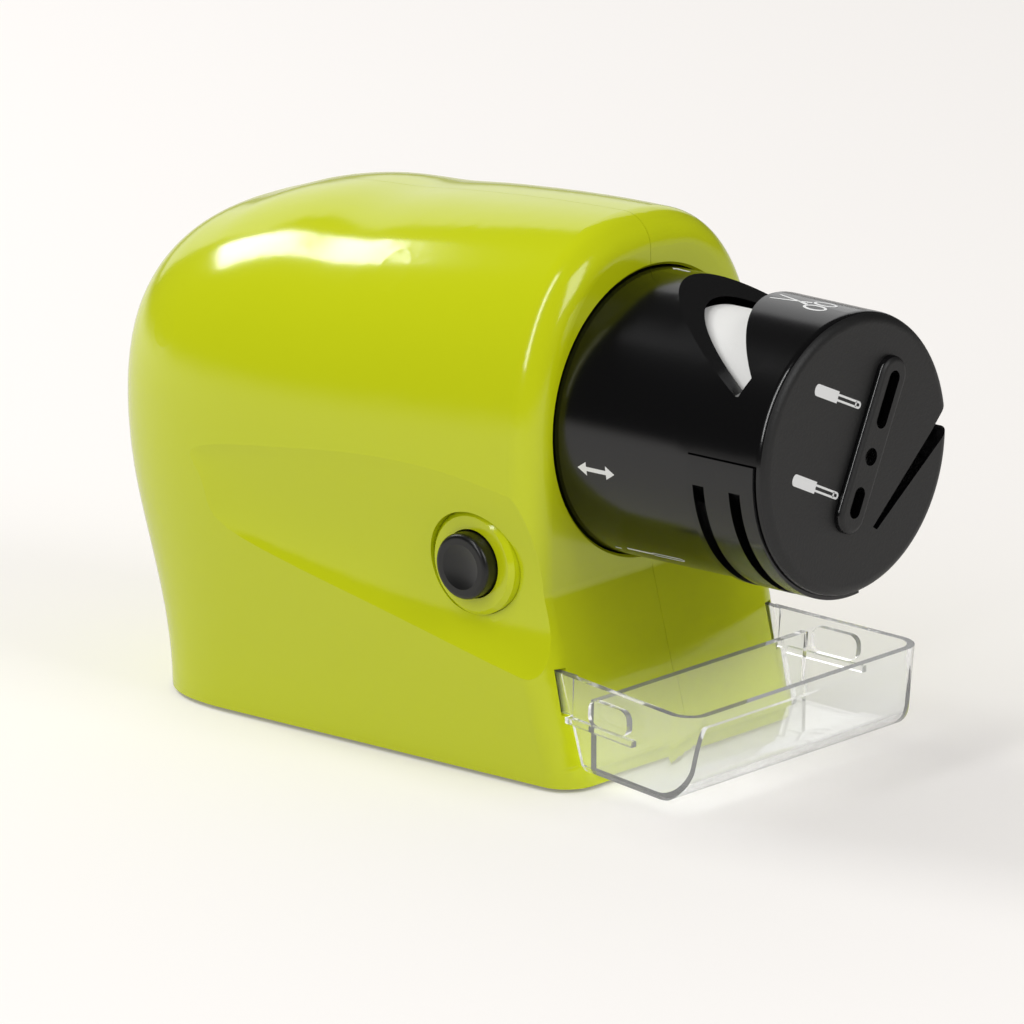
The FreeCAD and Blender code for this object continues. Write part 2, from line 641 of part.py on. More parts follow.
def drive_coupling():
    body = rod_x(COUPLING_RADIUS, COUPLING_BACK, COUPLING_FRONT)
    body = body.cut(rod_x(SPINDLE_RADIUS, SPINDLE_BACK, COUPLING_FRONT + 1))
    body = body.cut(rod_x(SHAFT_RADIUS, COUPLING_BACK - 1, SPINDLE_BACK))
    for k in range(4):
        groove = rod_x(0.9, COUPLING_BACK - 1, COUPLING_FRONT + 1, 0.0, AXIS_HEIGHT + COUPLING_RADIUS)
        groove.rotate(V(0, 0, AXIS_HEIGHT), V(1, 0, 0), 90.0 * k)
        body = body.cut(groove)
    return body


def motor_shaft():
    return rod_x(SHAFT_RADIUS, MOTOR_BACK - 4.0, SPINDLE_BACK)


def motor_can():
    body = rod_x(MOTOR_RADIUS, MOTOR_BACK, MOTOR_FRONT)
    edges = [e for e in body.Edges if e.BoundBox.XMin > MOTOR_FRONT - 0.1]
    body = body.makeChamfer(1.2, edges).fuse(rod_x(5.0, MOTOR_FRONT, MOTOR_FRONT + 2.4))
    flats = box(MOTOR_BACK - 1, MOTOR_FRONT + 1, -30, 30, AXIS_HEIGHT + MOTOR_RADIUS - 1.8, AXIS_HEIGHT + 40)
    body = body.cut(flats)
    return body.cut(rod_x(SHAFT_RADIUS + RUNNING_GAP, MOTOR_BACK - 1, MOTOR_FRONT + 5))


def motor_end_bell():
    body = rod_x(MOTOR_RADIUS - 0.8, MOTOR_BACK - 4.0, MOTOR_BACK)
    body = body.fuse(rod_x(4.5, MOTOR_BACK - 6.0, MOTOR_BACK - 4.0))
    for side in (-1, 1):
        tab = box(MOTOR_BACK - 9.0, MOTOR_BACK - 4.0, side * 8.0 - 1.5, side * 8.0 + 1.5,
                  AXIS_HEIGHT - 0.25, AXIS_HEIGHT + 0.25)
        body = body.fuse(tab)
    return body.cut(rod_x(SHAFT_RADIUS + RUNNING_GAP, MOTOR_BACK - 4.5, MOTOR_BACK + 1))


def motor_cradle():
    # saddle that carries the motor and reaches both shells
    x0 = MOTOR_BACK + 8.0
    x1 = MOTOR_FRONT - 6.0
    body = box(x0, x1, -MOTOR_RADIUS - 4.0, MOTOR_RADIUS + 4.0, AXIS_HEIGHT - MOTOR_RADIUS - 4.0, AXIS_HEIGHT)
    legs = box(x0 + 4, x1 - 4, -MOTOR_RADIUS - 2, MOTOR_RADIUS + 2, bay_top(), AXIS_HEIGHT - MOTOR_RADIUS)
    arch = box(x0 + 3, x1 - 3, -MOTOR_RADIUS + 2, MOTOR_RADIUS - 2, bay_top() + 6, AXIS_HEIGHT - MOTOR_RADIUS - 4)
    body = body.fuse(legs.cut(arch))
    return body.cut(rod_x(MOTOR_RADIUS, x0 - 1, x1 + 1)).removeSplitter()


def detent_spring():
    # leaf behind the collar's flange, with a round nose through it into the barrel's notch
    top = AXIS_HEIGHT + BARREL_RADIUS
    leaf = box(COLLAR_BACK - 0.6, COLLAR_BACK, -9.0, 9.0, top - 2.0, top + 2.0)
    nose = rod_x(CLICK_NOSE, COLLAR_BACK - 0.6, BARREL_BACK + 1.8, 0.0, top)
    return leaf.fuse(nose)


# Button

def button_bezel():
    outer = rod_y(BEZEL_RADIUS, BEZEL_FACE, BEZEL_FACE + BEZEL_DEPTH, BUTTON_X, BUTTON_Z)
    edges = [e for e in outer.Edges if e.BoundBox.YMax < BEZEL_FACE + 0.1]
    outer = outer.makeChamfer(0.9, edges)
    return outer.cut(rod_y(BUTTON_RADIUS + CAP_GAP, BEZEL_FACE - 5, 0.0, BUTTON_X, BUTTON_Z))


def button_cap():
    cap = rod_y(BUTTON_RADIUS, BUTTON_FACE, CAP_BACK, BUTTON_X, BUTTON_Z)
    edges = [e for e in cap.Edges if e.BoundBox.YMax < BUTTON_FACE + 0.1]
    cap = cap.makeFillet(1.0, edges)
    dish = Part.makeSphere(14.0, V(BUTTON_X, BUTTON_FACE - 13.3, BUTTON_Z))
    cap = cap.cut(dish)
    stem = rod_y(2.4, CAP_BACK, STEM_END, BUTTON_X, BUTTON_Z)
    return cap.fuse(stem)


def switch_plunger():
    return rod_y(1.6, STEM_END, SWITCH_FRONT + 4.0, BUTTON_X, BUTTON_Z)


def switch_body():
    half = SWITCH_SIZE / 2
    body = box(BUTTON_X - half, BUTTON_X + half, SWITCH_FRONT, SWITCH_FRONT + SWITCH_DEPTH,
               BUTTON_Z - half, BUTTON_Z + half)
    body = body.cut(rod_y(1.6 + RUNNING_GAP, SWITCH_FRONT - 1, SWITCH_FRONT + 6.4, BUTTON_X, BUTTON_Z))
    for side in (-1, 1):
        pin = box(BUTTON_X + side * 3 - 0.8, BUTTON_X + side * 3 + 0.8, SWITCH_FRONT + SWITCH_DEPTH,
                  SWITCH_FRONT + SWITCH_DEPTH + 3.5, BUTTON_Z - 0.3, BUTTON_Z + 0.3)
        body = body.fuse(pin)
    return body


# Base and batteries

def bay_left():
    return CELL_MIDDLE_X - CELL_LENGTH / 2 - BAY_SPRING_ROOM


def bay_right():
    return CELL_MIDDLE_X + CELL_LENGTH / 2 + 1.2


def bay_half():
    return CELL_PITCH * (CELL_COUNT - 1) / 2 + CELL_RADIUS + BAY_GAP


def bay_ceiling():
    return CELL_AXIS_HEIGHT + CELL_RADIUS + BAY_GAP


def bay_top():
    return bay_ceiling() + BAY_WALL


def base_outline(inset, z0, z1):
    half = rounded_half(HOUSING_WALL + inset)
    whole = half.fuse(mirrored(half))
    return whole.common(box(-150, 150, -150, 150, z0, z1)).removeSplitter()


def base_plate():
    plate = base_outline(0.2, PLATE_FLOOR, PLATE_FLOOR + PLATE_THICKNESS)
    wall = BAY_WALL
    bay = box(bay_left() - wall, bay_right() + wall, -bay_half() - wall, bay_half() + wall, PLATE_FLOOR, bay_top())
    hollow = box(bay_left(), bay_right(), -bay_half(), bay_half(), PLATE_FLOOR - 1, bay_ceiling())
    body = plate.fuse(bay).cut(hollow)
    for x, y in base_screw_places():
        body = body.cut(rod_z(SCREW_HEAD_RADIUS + 0.3, 0.0, PLATE_FLOOR + BASE_SCREW_HEAD, x, y))
        body = body.cut(rod_z(SCREW_RADIUS + SEAT, 0.0, BASE_SCREW_TOP, x, y))
    for x in FOOT_X:
        for y in (-FOOT_Y, FOOT_Y):
            body = body.cut(rod_z(FOOT_RADIUS + SEAT, PLATE_FLOOR - 1, PLATE_FLOOR + 0.7, x, y))
    return body.removeSplitter()


def base_screw_places():
    return [(x, side * y) for x, y in BASE_SCREWS for side in (-1, 1)]


def base_screws():
    screws = []
    for x, y in base_screw_places():
        high = PLATE_FLOOR + BASE_SCREW_HEAD
        head = rod_z(SCREW_HEAD_RADIUS, PLATE_FLOOR + 0.2, high, x, y)
        shank = rod_z(SCREW_RADIUS, high, BASE_SCREW_TOP - 1.0, x, y)
        cross = box(x - 1.8, x + 1.8, y - 0.35, y + 0.35, 0.0, PLATE_FLOOR + 0.7)
        cross = cross.fuse(box(x - 0.35, x + 0.35, y - 1.8, y + 1.8, 0.0, PLATE_FLOOR + 0.7))
        screws.append(head.fuse(shank).cut(cross))
    return Part.makeCompound(screws)


def battery_door():
    gap = 0.25
    panel = box(bay_left() + gap, bay_right() - gap, -bay_half() + gap, bay_half() - gap,
                PLATE_FLOOR, PLATE_FLOOR + PLATE_THICKNESS - 0.3)
    ribs = [box(bay_left() + 6, bay_right() - 6, y - 0.6, y + 0.6, PLATE_FLOOR + 1.0, PLATE_FLOOR + 2.6)
            for y in (-CELL_PITCH, 0.0, CELL_PITCH)]
    for rib in ribs:
        panel = panel.fuse(rib)
    for k in range(5):
        x = bay_right() - 8.0 + k * 1.4
        panel = panel.cut(box(x, x + 0.6, -7.0, 7.0, PLATE_FLOOR - 1, PLATE_FLOOR + 0.5))
    # rounded back edge that the door turns on
    room = box(bay_left(), bay_left() + DOOR_HINGE_INSET, -bay_half(), bay_half(), 0.0, PLATE_FLOOR + 4.0)
    bead = rod_y(DOOR_HINGE_RADIUS, gap - bay_half(), bay_half() - gap,
                 bay_left() + DOOR_HINGE_INSET, PLATE_FLOOR + DOOR_HINGE_RADIUS)
    return panel.cut(room).fuse(bead).removeSplitter()


def cell_rows():
    first = -CELL_PITCH * (CELL_COUNT - 1) / 2
    return [first + k * CELL_PITCH for k in range(CELL_COUNT)]


def battery_cells():
    cells = []
    for k, y in enumerate(cell_rows()):
        x0 = CELL_MIDDLE_X - CELL_LENGTH / 2
        x1 = CELL_MIDDLE_X + CELL_LENGTH / 2
        can = rod_x(CELL_RADIUS, x0 + 1.2, x1 - 1.2, y, CELL_AXIS_HEIGHT)
        nub = rod_x(2.6, x1 - 1.2, x1, y, CELL_AXIS_HEIGHT)
        pad = rod_x(5.6, x0, x0 + 1.2, y, CELL_AXIS_HEIGHT)
        cells.append(can.fuse(nub).fuse(pad))
    return Part.makeCompound(cells)


def battery_springs():
    springs = []
    x0 = bay_left()
    x1 = CELL_MIDDLE_X - CELL_LENGTH / 2
    for y in cell_rows():
        springs.append(Part.makeCone(4.4, 2.4, x1 - x0, V(x0, y, CELL_AXIS_HEIGHT), V(1, 0, 0)))
    return Part.makeCompound(springs)


def contact_plates():
    plates = []
    x1 = bay_right()
    x0 = CELL_MIDDLE_X + CELL_LENGTH / 2
    for y in cell_rows():
        plates.append(box(x0, x1, y - 5.0, y + 5.0, CELL_AXIS_HEIGHT - 5.0, CELL_AXIS_HEIGHT + 5.0))
    return Part.makeCompound(plates)


def rubber_feet():
    feet = []
    for x in FOOT_X:
        for y in (-FOOT_Y, FOOT_Y):
            pad = rod_z(FOOT_RADIUS, 0.0, PLATE_FLOOR + 0.7, x, y)
            edges = [e for e in pad.Edges if e.BoundBox.ZMax < 0.1]
            feet.append(pad.makeChamfer(0.4, edges))
    return Part.makeCompound(feet)


# Tray

def tray_outline(z, x0, x1, half0, half1, corner_back, corner_front):
    # rounded four-sided outline, wider towards the front
    slope = math.atan2(half1 - half0, x1 - x0)
    pts = [V(x0, -half0, z), V(x1, -half1, z), V(x1, half1, z), V(x0, half0, z)]
    radii = [corner_back, corner_front, corner_front, corner_back]
    edges = []
    starts = []
    ends = []
    for k in range(4):
        here = pts[k]
        before = (pts[k - 1] - here).normalize()
        after = (pts[(k + 1) % 4] - here).normalize()
        angle = before.getAngle(after) / 2
        reach = radii[k] / math.tan(angle)
        bisector = (before + after).normalize()
        centre = here + bisector * (radii[k] / math.sin(angle))
        middle = centre - bisector * radii[k]
        starts.append(here + before * reach)
        ends.append(here + after * reach)
        edges.append(Part.Arc(here + before * reach, middle, here + after * reach).toShape())
    loop = []
    for k in range(4):
        loop.append(edges[k])
        loop.append(Part.makeLine(ends[k], starts[(k + 1) % 4]))
    return Part.Wire(loop)


def tray_profile(inset, back):
    # side view: upright back, round nose under the front wall, open top
    low = TRAY_FLOOR + inset
    nose = TRAY_NOSE_ROUND - inset
    centre = V(TRAY_FLOOR_FRONT - inset - nose, 0, low + nose)
    slope = math.radians(6.0)
    start = V(centre.x, 0, low)
    middle = centre + V(nose * math.cos(math.radians(42)), 0, -nose * math.sin(math.radians(42)))
    end = centre + V(nose * math.cos(slope), 0, -nose * math.sin(slope))
    top = TRAY_RIM + OVERRUN
    lip = V(end.x + (top - end.z) * math.tan(slope), 0, top)
    corners = [lip, V(back, 0, top), V(back, 0, low), start]
    edges = [Part.Arc(start, middle, end).toShape(), Part.makeLine(end, lip)]
    edges += [Part.makeLine(corners[i], corners[i + 1]) for i in range(3)]
    return Part.Face(Part.Wire(Part.__sortEdges__(edges)))


def tray_sides(inset, rise):
    # the tray's plan, tapering a little towards the floor
    rows = ((TRAY_FLOOR - 0.5, TRAY_FLOOR_SLOPE + 1.4), (TRAY_FLOOR + 1.2, TRAY_FLOOR_SLOPE), (TRAY_RIM + rise, 0.0))
    wires = []
    for z, narrower in rows:
        drop = narrower + inset
        wires.append(tray_outline(z, TRAY_SIDE_BACK, TRAY_FRONT - inset, TRAY_BACK_HALF - drop,
                                  TRAY_FRONT_HALF - drop, 0.4, 5.0 - inset))
    return Part.makeLoft(wires, True, True)


def tray_bowl(inset, back, rise):
    wide = TRAY_FRONT + OVERRUN
    profile = tray_profile(inset, back)
    profile.translate(V(0, -wide, 0))
    return profile.extrude(V(0, 2 * wide, 0)).common(tray_sides(inset, rise))


def behind_front_wall():
    # everything behind the housing's front wall, with the tray's gap
    wall = HOUSING_FRONT + TRAY_WALL_GAP
    toe = TOE_FRONT + TRAY_WALL_GAP
    points = [(-99.0, TOE_TOP + 20), (-99.0, -20.0), (toe, -20.0), (toe, TOE_HEIGHT), (wall, TOE_TOP),
              (wall, TOE_TOP + 20)]
    return prism_y(points, -60.0, 60.0)


def filings_tray():
    bowl = tray_bowl(0.0, TRAY_SIDE_BACK, 0.0)
    bowl = bowl.cut(tray_bowl(TRAY_WALL, TRAY_BACK + TRAY_WALL, 3.0))
    behind = box(0.0, TRAY_BACK, -60.0, 60.0, -20.0, 60.0)
    bowl = bowl.cut(tray_sides(TRAY_WALL, 3.0).common(behind))
    dip = box(0.0, TRAY_BACK + 4, -60.0, 60.0, TRAY_RIM - TRAY_BACK_WALL_DROP, TRAY_RIM + 5)
    bowl = drooped(bowl.cut(dip.common(tray_sides(TRAY_WALL, 3.0)))).cut(behind_front_wall())
    for side in (-1, 1):
        bowl = bowl.fuse(drooped(tray_arm(side)))
    return bowl.removeSplitter()


def along_side(shape):
    # turns a shape made along X to follow the tray's side wall
    slope = math.degrees(math.atan2(TRAY_FRONT_HALF - TRAY_BACK_HALF, TRAY_FRONT - TRAY_SIDE_BACK))
    turned = shape.copy()
    turned.rotate(V(TRAY_SIDE_BACK, TRAY_BACK_HALF, 0), V(0, 0, 1), slope)
    return turned


def tray_arm(side):
    y0 = TRAY_BACK_HALF - TRAY_WALL
    y1 = TRAY_BACK_HALF
    x0 = TRAY_BACK - ARM_LENGTH
    x1 = TRAY_BACK - 5.0
    arm = prism_y([(x0, ARM_LOW + 2), (x0 + 2, ARM_LOW), (x1, ARM_LOW), (x1, TRAY_RIM), (x0, TRAY_RIM)], y0, y1)
    bead = box(TRAY_BACK - 5.0, TRAY_BACK + 13.0, y1 - 1.2, y1 + 0.8, ARM_LOW - 1.2, ARM_LOW)
    grip = rounded_pad(TRAY_BACK + 1.5, TRAY_BACK + 12.0, y1 - 1.2, y1 + 1.2, ARM_LOW + 0.4, TRAY_RIM - 2.2)
    shape = arm.fuse(along_side(bead.fuse(grip)))
    if side < 0:
        return mirrored(shape)
    return shape


def rounded_pad(x0, x1, y0, y1, z0, z1):
    pad = box(x0, x1, y0, y1, z0, z1)
    edges = [e for e in pad.Edges if e.BoundBox.YLength > (y1 - y0) * 0.9]
    return pad.makeFillet(2.0, edges)


def main():
    os.makedirs("parts", exist_ok=True)
    save("left_shell", left_shell())
    save("right_shell", right_shell())
    save("case_screws", case_screws())
    save("head_barrel", head_barrel())
    save("knife_guide", knife_guide())
    save("head_screw", head_screw())
    save("head_collar", head_collar())
    save("spindle_bush", spindle_bush())
    save("detent_spring", detent_spring())
    save("grinding_stone", grinding_stone())
    save("stone_hub", stone_hub())
    save("hub_nut", hub_nut())
    save("spindle", spindle())
    save("drive_coupling", drive_coupling())
    save("motor_shaft", motor_shaft())
    save("motor_can", motor_can())
    save("motor_end_bell", motor_end_bell())
    save("motor_cradle", motor_cradle())
    save("button_bezel", button_bezel())
    save("button_cap", button_cap())
    save("switch_plunger", switch_plunger())
    save("switch_body", switch_body())
    save("base_plate", base_plate())
    save("base_screws", base_screws())
    save("battery_door", battery_door())
    save("battery_cells", battery_cells())
    save("battery_springs", battery_springs())
    save("contact_plates", contact_plates())
    save("rubber_feet", rubber_feet())
    save("filings_tray", filings_tray())


main()
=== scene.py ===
import json
import math

import bmesh
import bpy
from mathutils import Matrix, Vector
from mathutils.bvhtree import BVHTree


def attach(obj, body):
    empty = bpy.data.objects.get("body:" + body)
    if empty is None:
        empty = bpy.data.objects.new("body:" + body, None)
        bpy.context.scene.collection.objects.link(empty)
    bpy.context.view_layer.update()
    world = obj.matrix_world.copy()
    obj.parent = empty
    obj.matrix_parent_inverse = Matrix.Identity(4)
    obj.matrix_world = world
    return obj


bl_info = {
    "name": "Battery knife sharpener",
    "version": (1, 0, 0),
    "blender": (4, 5, 0),
    "location": "3D View > Sidebar > Sharpener",
    "description": "Finishes, printed signs and studio for a battery knife sharpener",
    "category": "Object",
}

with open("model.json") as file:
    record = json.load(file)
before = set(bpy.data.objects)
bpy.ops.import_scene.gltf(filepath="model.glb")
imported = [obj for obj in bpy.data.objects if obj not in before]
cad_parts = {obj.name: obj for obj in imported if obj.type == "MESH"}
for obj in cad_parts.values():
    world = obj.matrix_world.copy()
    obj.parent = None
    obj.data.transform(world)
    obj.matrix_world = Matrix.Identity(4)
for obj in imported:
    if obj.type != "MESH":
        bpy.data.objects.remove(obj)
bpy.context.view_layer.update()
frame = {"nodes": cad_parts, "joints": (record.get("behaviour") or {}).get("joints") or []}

MM = 0.001
ABS_IOR = 1.54
BARREL_ROUGHNESS = 0.16     # polished
FACE_ROUGHNESS = 0.48       # spark-textured
FACE_RELIEF = 0.05 * MM     # height of that texture
FACE_DEPTH = 1.5 * MM       # what is this near the front of the head counts as its face
FLOOR_HALF = 6.0
AIM_HEIGHT = 55 * MM        # where the lamps point
SENSOR_WIDTH = 36.0
SIGN_LIFT = 0.01 * MM       # gap under the printed signs
SIGN_CUT = 0.8              # width in millimetres of the strips a sign is cut into, to bend round the barrel

# Signs on the head's face: across and up from the axis in millimetres, and the turn in degrees
KNIFE_UPPER = (-12.1, 15.3, -24.5)
KNIFE_LOWER = (-18.6, -0.7, -25.0)

# Signs on the barrel: millimetres behind the face, and the angle in degrees from -Y towards +Z
DOUBLE_ARROW = (41.0, -9.6)
POINTER = (46.4, 98.0)
SCISSORS = (20.2, 90.6)
SLIM_TOOL = (42.9, -54.6)
SHORT_MARK = (46.4, -56.5)

HEAD_JOINT = next(j for j in frame["joints"] if j["name"] == "head_turn")
HEAD_AXIS_Z = HEAD_JOINT["pos_m"][2]


# Colours and nodes

def linear(hex_colour):
    """sRGB hex to a linear RGBA colour."""
    channels = [int(hex_colour[i:i + 2], 16) / 255 for i in (1, 3, 5)]
    return tuple(c / 12.92 if c <= 0.04045 else ((c + 0.055) / 1.055) ** 2.4 for c in channels) + (1.0,)


def add_node(tree, kind, inputs=None, **settings):
    """Adds a node, sets its settings, and fills or links its inputs."""
    node = tree.nodes.new(kind)
    for name, value in settings.items():
        setattr(node, name, value)
    for name, value in (inputs or {}).items():
        if isinstance(value, bpy.types.NodeSocket):
            tree.links.new(value, node.inputs[name])
        else:
            node.inputs[name].default_value = value
    return node


def start_material(name):
    """A new material and its emptied node tree, or the material made before and None."""
    if name in bpy.data.materials:
        return bpy.data.materials[name], None
    material = bpy.data.materials.new(name)
    material.use_nodes = True
    material.node_tree.nodes.clear()
    return material, material.node_tree


def close_material(tree, shader):
    add_node(tree, "ShaderNodeOutputMaterial", {"Surface": shader})


def grain(tree, spacing_mm, height_mm, detail=2.0):
    """Bump from a fine noise whose spacing and height are real millimetres."""
    place = add_node(tree, "ShaderNodeTexCoord")
    noise = add_node(tree, "ShaderNodeTexNoise", {
        "Vector": place.outputs["Object"], "Scale": 1 / (spacing_mm * MM), "Detail": detail})
    bump = add_node(tree, "ShaderNodeBump", {
        "Height": noise.outputs["Fac"], "Strength": 1.0, "Distance": height_mm * MM})
    return bump.outputs["Normal"]


def moulded_plastic(name, colour, roughness, ior=1.53, spacing_mm=0.0, height_mm=0.0):
    """Injection-moulded plastic: one even colour, and a gloss set by the polish of the mould."""
    material, tree = start_material(name)
    if tree:
        inputs = {"Base Color": colour, "Roughness": roughness, "IOR": ior}
        if spacing_mm > 0:
            inputs["Normal"] = grain(tree, spacing_mm, height_mm)
        shader = add_node(tree, "ShaderNodeBsdfPrincipled", inputs)
        close_material(tree, shader.outputs["BSDF"])
    return material


def glossy_abs(look):
    # polished ABS housing: deep even lime with sharp mirror-like highlights
    return moulded_plastic("ABS_moulded_polished_lime", linear(look.housing_hex), look.housing_roughness,
                           ABS_IOR)


def barrel_abs(look):
    # black ABS: polished round the barrel, spark-textured on its front face, which reads dull grey
    material, tree = start_material("ABS_moulded_black_polished_and_textured")
    if tree:
        place = add_node(tree, "ShaderNodeTexCoord")
        split = add_node(tree, "ShaderNodeSeparateXYZ", {"Vector": place.outputs["Object"]})
        facing = add_node(tree, "ShaderNodeSeparateXYZ",
                          {"Vector": add_node(tree, "ShaderNodeNewGeometry").outputs["True Normal"]})
        ahead = add_node(tree, "ShaderNodeMath", {0: split.outputs["X"], 1: look.face_x - FACE_DEPTH},
                         operation="GREATER_THAN")
        flat = add_node(tree, "ShaderNodeMath", {0: facing.outputs["X"], 1: 0.5}, operation="GREATER_THAN")
        on_face = add_node(tree, "ShaderNodeMath", {0: ahead.outputs[0], 1: flat.outputs[0]},
                           operation="MULTIPLY")
        noise = add_node(tree, "ShaderNodeTexNoise", {
            "Vector": place.outputs["Object"], "Scale": 1 / look.face_grain, "Detail": 2.0})
        height = add_node(tree, "ShaderNodeMath", {0: noise.outputs["Fac"], 1: on_face.outputs[0]},
                          operation="MULTIPLY")
        bump = add_node(tree, "ShaderNodeBump", {"Height": height.outputs[0], "Distance": FACE_RELIEF})
        roughness = add_node(tree, "ShaderNodeMapRange", {
            "Value": on_face.outputs[0], "To Min": BARREL_ROUGHNESS, "To Max": FACE_ROUGHNESS})
        colour = add_node(tree, "ShaderNodeMix", {
            "Factor": on_face.outputs[0], "A": linear(look.barrel_hex), "B": linear(look.face_hex)},
            data_type="RGBA")
        shader = add_node(tree, "ShaderNodeBsdfPrincipled", {
            "Base Color": colour.outputs["Result"], "Roughness": roughness.outputs[0],
            "Normal": bump.outputs["Normal"], "IOR": ABS_IOR})
        close_material(tree, shader.outputs["BSDF"])
    return material


def white_alumina(look):
    # sintered white alumina: bright, dull, with a fine grit that only just shows
    material, tree = start_material("alumina_sintered_white")
    if tree:
        shader = add_node(tree, "ShaderNodeBsdfPrincipled", {
            "Base Color": linear(look.stone_hex), "Roughness": 0.75, "IOR": 1.6,
            "Normal": grain(tree, 0.35, 0.06, 4.0)})
        close_material(tree, shader.outputs["BSDF"])
    return material


def clear_polystyrene(look):
    # clear moulded polystyrene: colourless, sharp reflections and bright thick edges
    material, tree = start_material("polystyrene_moulded_clear")
    if tree:
        clear = add_node(tree, "ShaderNodeBsdfPrincipled", {
            "Base Color": linear(look.tray_hex), "Roughness": look.tray_roughness, "IOR": 1.45,
            "Transmission Weight": 0.92})
        light = add_node(tree, "ShaderNodeBsdfTransparent", {"Color": (0.93, 0.94, 0.94, 1.0)})
        rays = add_node(tree, "ShaderNodeLightPath")
        either = add_node(tree, "ShaderNodeMixShader", {
            0: rays.outputs["Is Shadow Ray"], 1: clear.outputs["BSDF"], 2: light.outputs["BSDF"]})
        close_material(tree, either.outputs["Shader"])
    return material


def metal(name, colour, roughness):
    material, tree = start_material(name)
    if tree:
        shader = add_node(tree, "ShaderNodeBsdfPrincipled", {
            "Base Color": colour, "Metallic": 1.0, "Roughness": roughness})
        close_material(tree, shader.outputs["BSDF"])
    return material


def printed_ink():
    # pad-printed white ink: flat and slightly dull
    return moulded_plastic("ink_pad_printed_white", linear("#E9EAEA"), 0.45, 1.5)


def finish(nodes, material):
    """Gives CAD nodes a material in every slot."""
    for name in nodes:
        mesh = frame["nodes"][name].data
        if not mesh.materials:
            mesh.materials.append(material)
        for index in range(len(mesh.materials)):
            mesh.materials[index] = material


# Signs: flat outlines in millimetres, laid on the barrel or on its face

def arc_points(centre, radius, start_deg, end_deg, steps):
    return [(centre[0] + radius * math.cos(math.radians(start_deg + (end_deg - start_deg) * i / steps)),
             centre[1] + radius * math.sin(math.radians(start_deg + (end_deg - start_deg) * i / steps)))
            for i in range(steps + 1)]


def stroke(points, width, closed=False):
    """Quads along a line of points, as wide as a printed line, tapering where width is a pair."""
    start, end = (width, width) if isinstance(width, (int, float)) else width
    loop = points + points[:1] if closed else points
    sides = []
    for i, here in enumerate(loop):
        if closed:
            before = points[i % len(points) - 1]
            after = points[(i + 1) % len(points)]
        else:
            before = loop[max(i - 1, 0)]
            after = loop[min(i + 1, len(loop) - 1)]
        along = Vector((after[0] - before[0], after[1] - before[1])).normalized()
        half = (start + (end - start) * i / (len(loop) - 1)) / 2
        normal = Vector((-along.y, along.x)) * half
        sides.append(((here[0] + normal.x, here[1] + normal.y), (here[0] - normal.x, here[1] - normal.y)))
    return [[sides[i][0], sides[i + 1][0], sides[i + 1][1], sides[i][1]] for i in range(len(sides) - 1)]


def double_arrow(length, head, width):
    """A line with a point at each end."""
    half = length / 2
    return [[(-half, 0), (-half + head, width * 1.6), (-half + head, width / 2), (-half + head, -width / 2),
             (-half + head, -width * 1.6)],
            [(half, 0), (half - head, -width * 1.6), (half - head, -width / 2), (half - head, width / 2),
             (half - head, width * 1.6)],
            [(-half + head, width / 2), (half - head, width / 2), (half - head, -width / 2),
             (-half + head, -width / 2)]]


def pointer(length, width):
    """A point with a thin tail."""
    return [[(-length / 2, 0), (-length / 2 + width, -width * 0.9), (-length / 2 + width, width * 0.9)],
            [(-length / 2 + width, width * 0.3), (-length / 2 + width, -width * 0.3),
             (length / 2, -width * 0.3), (length / 2, width * 0.3)]]


def knife_sign(length, blade_width, handle_width, line):
    """Wide round-ended blade, then a handle drawn as an outline with a hanging hole."""
    blade = length * 0.5
    bend = blade_width / 2
    tip = [(p[0] * 0.7 + bend * 0.7, p[1]) for p in arc_points((0, 0), bend, 90, 270, 10)]
    shapes = [tip, [(bend * 0.7, bend), (bend * 0.7, -bend), (blade, -bend), (blade, bend)]]
    edge = (handle_width - line) / 2
    hole = length - handle_width / 2
    for side in (-1, 1):
        shapes += stroke([(blade, side * edge), (hole, side * edge)], line)
    shapes += stroke(arc_points((hole, 0), edge, -90, 90, 10), line)
    shapes += stroke([(hole - handle_width * 0.55, -edge), (hole - handle_width * 0.55, edge)], line * 0.9)
    return shapes


def scissors_sign(length, line):
    """Two crossed blades, with a ring handle on each."""
    cross = length * 0.44
    opening = length * 0.11
    ring = length * 0.085
    shapes = []
    for side in (-1, 1):
        shapes += stroke([(0, side * opening), (cross, 0), (length * 0.62, -side * opening * 0.55)],
                         (line * 0.7, line * 1.25))
        centre = (length - ring * 2.2, -side * opening * 1.05)
        oval = [(centre[0] + (p[0] - centre[0]) * 2.1, p[1]) for p in arc_points(centre, ring, 0, 345, 23)]
        shapes += stroke(oval, line, closed=True)
    return shapes


def slim_tool_sign(length, line):
    """Thin awl-like blade that swells into an outlined handle."""
    middle = length * 0.42
    shapes = stroke([(0, 0), (middle, 0)], line)
    handle = [(middle, 0), (middle + 0.8, line), (length - 0.6, line), (length, 0),
              (length - 0.6, -line), (middle + 0.8, -line)]
    return shapes + stroke(handle, line * 0.45, closed=True)


def barrel_radius():
    """A function that finds how far the barrel's surface is from its axis at (X, angle)."""
    tree = BVHTree.FromObject(frame["nodes"]["head_barrel"], bpy.context.evaluated_depsgraph_get())

    def radius(x, angle):
        outwards = Vector((0, -math.cos(angle), math.sin(angle)))
        axis = Vector((x, 0, HEAD_AXIS_Z))
        hit = tree.ray_cast(axis + outwards * 0.1, -outwards)[0]
        if hit is None:
            raise RuntimeError("the barrel has no surface under a printed sign")
        return (hit - axis).length
    return radius


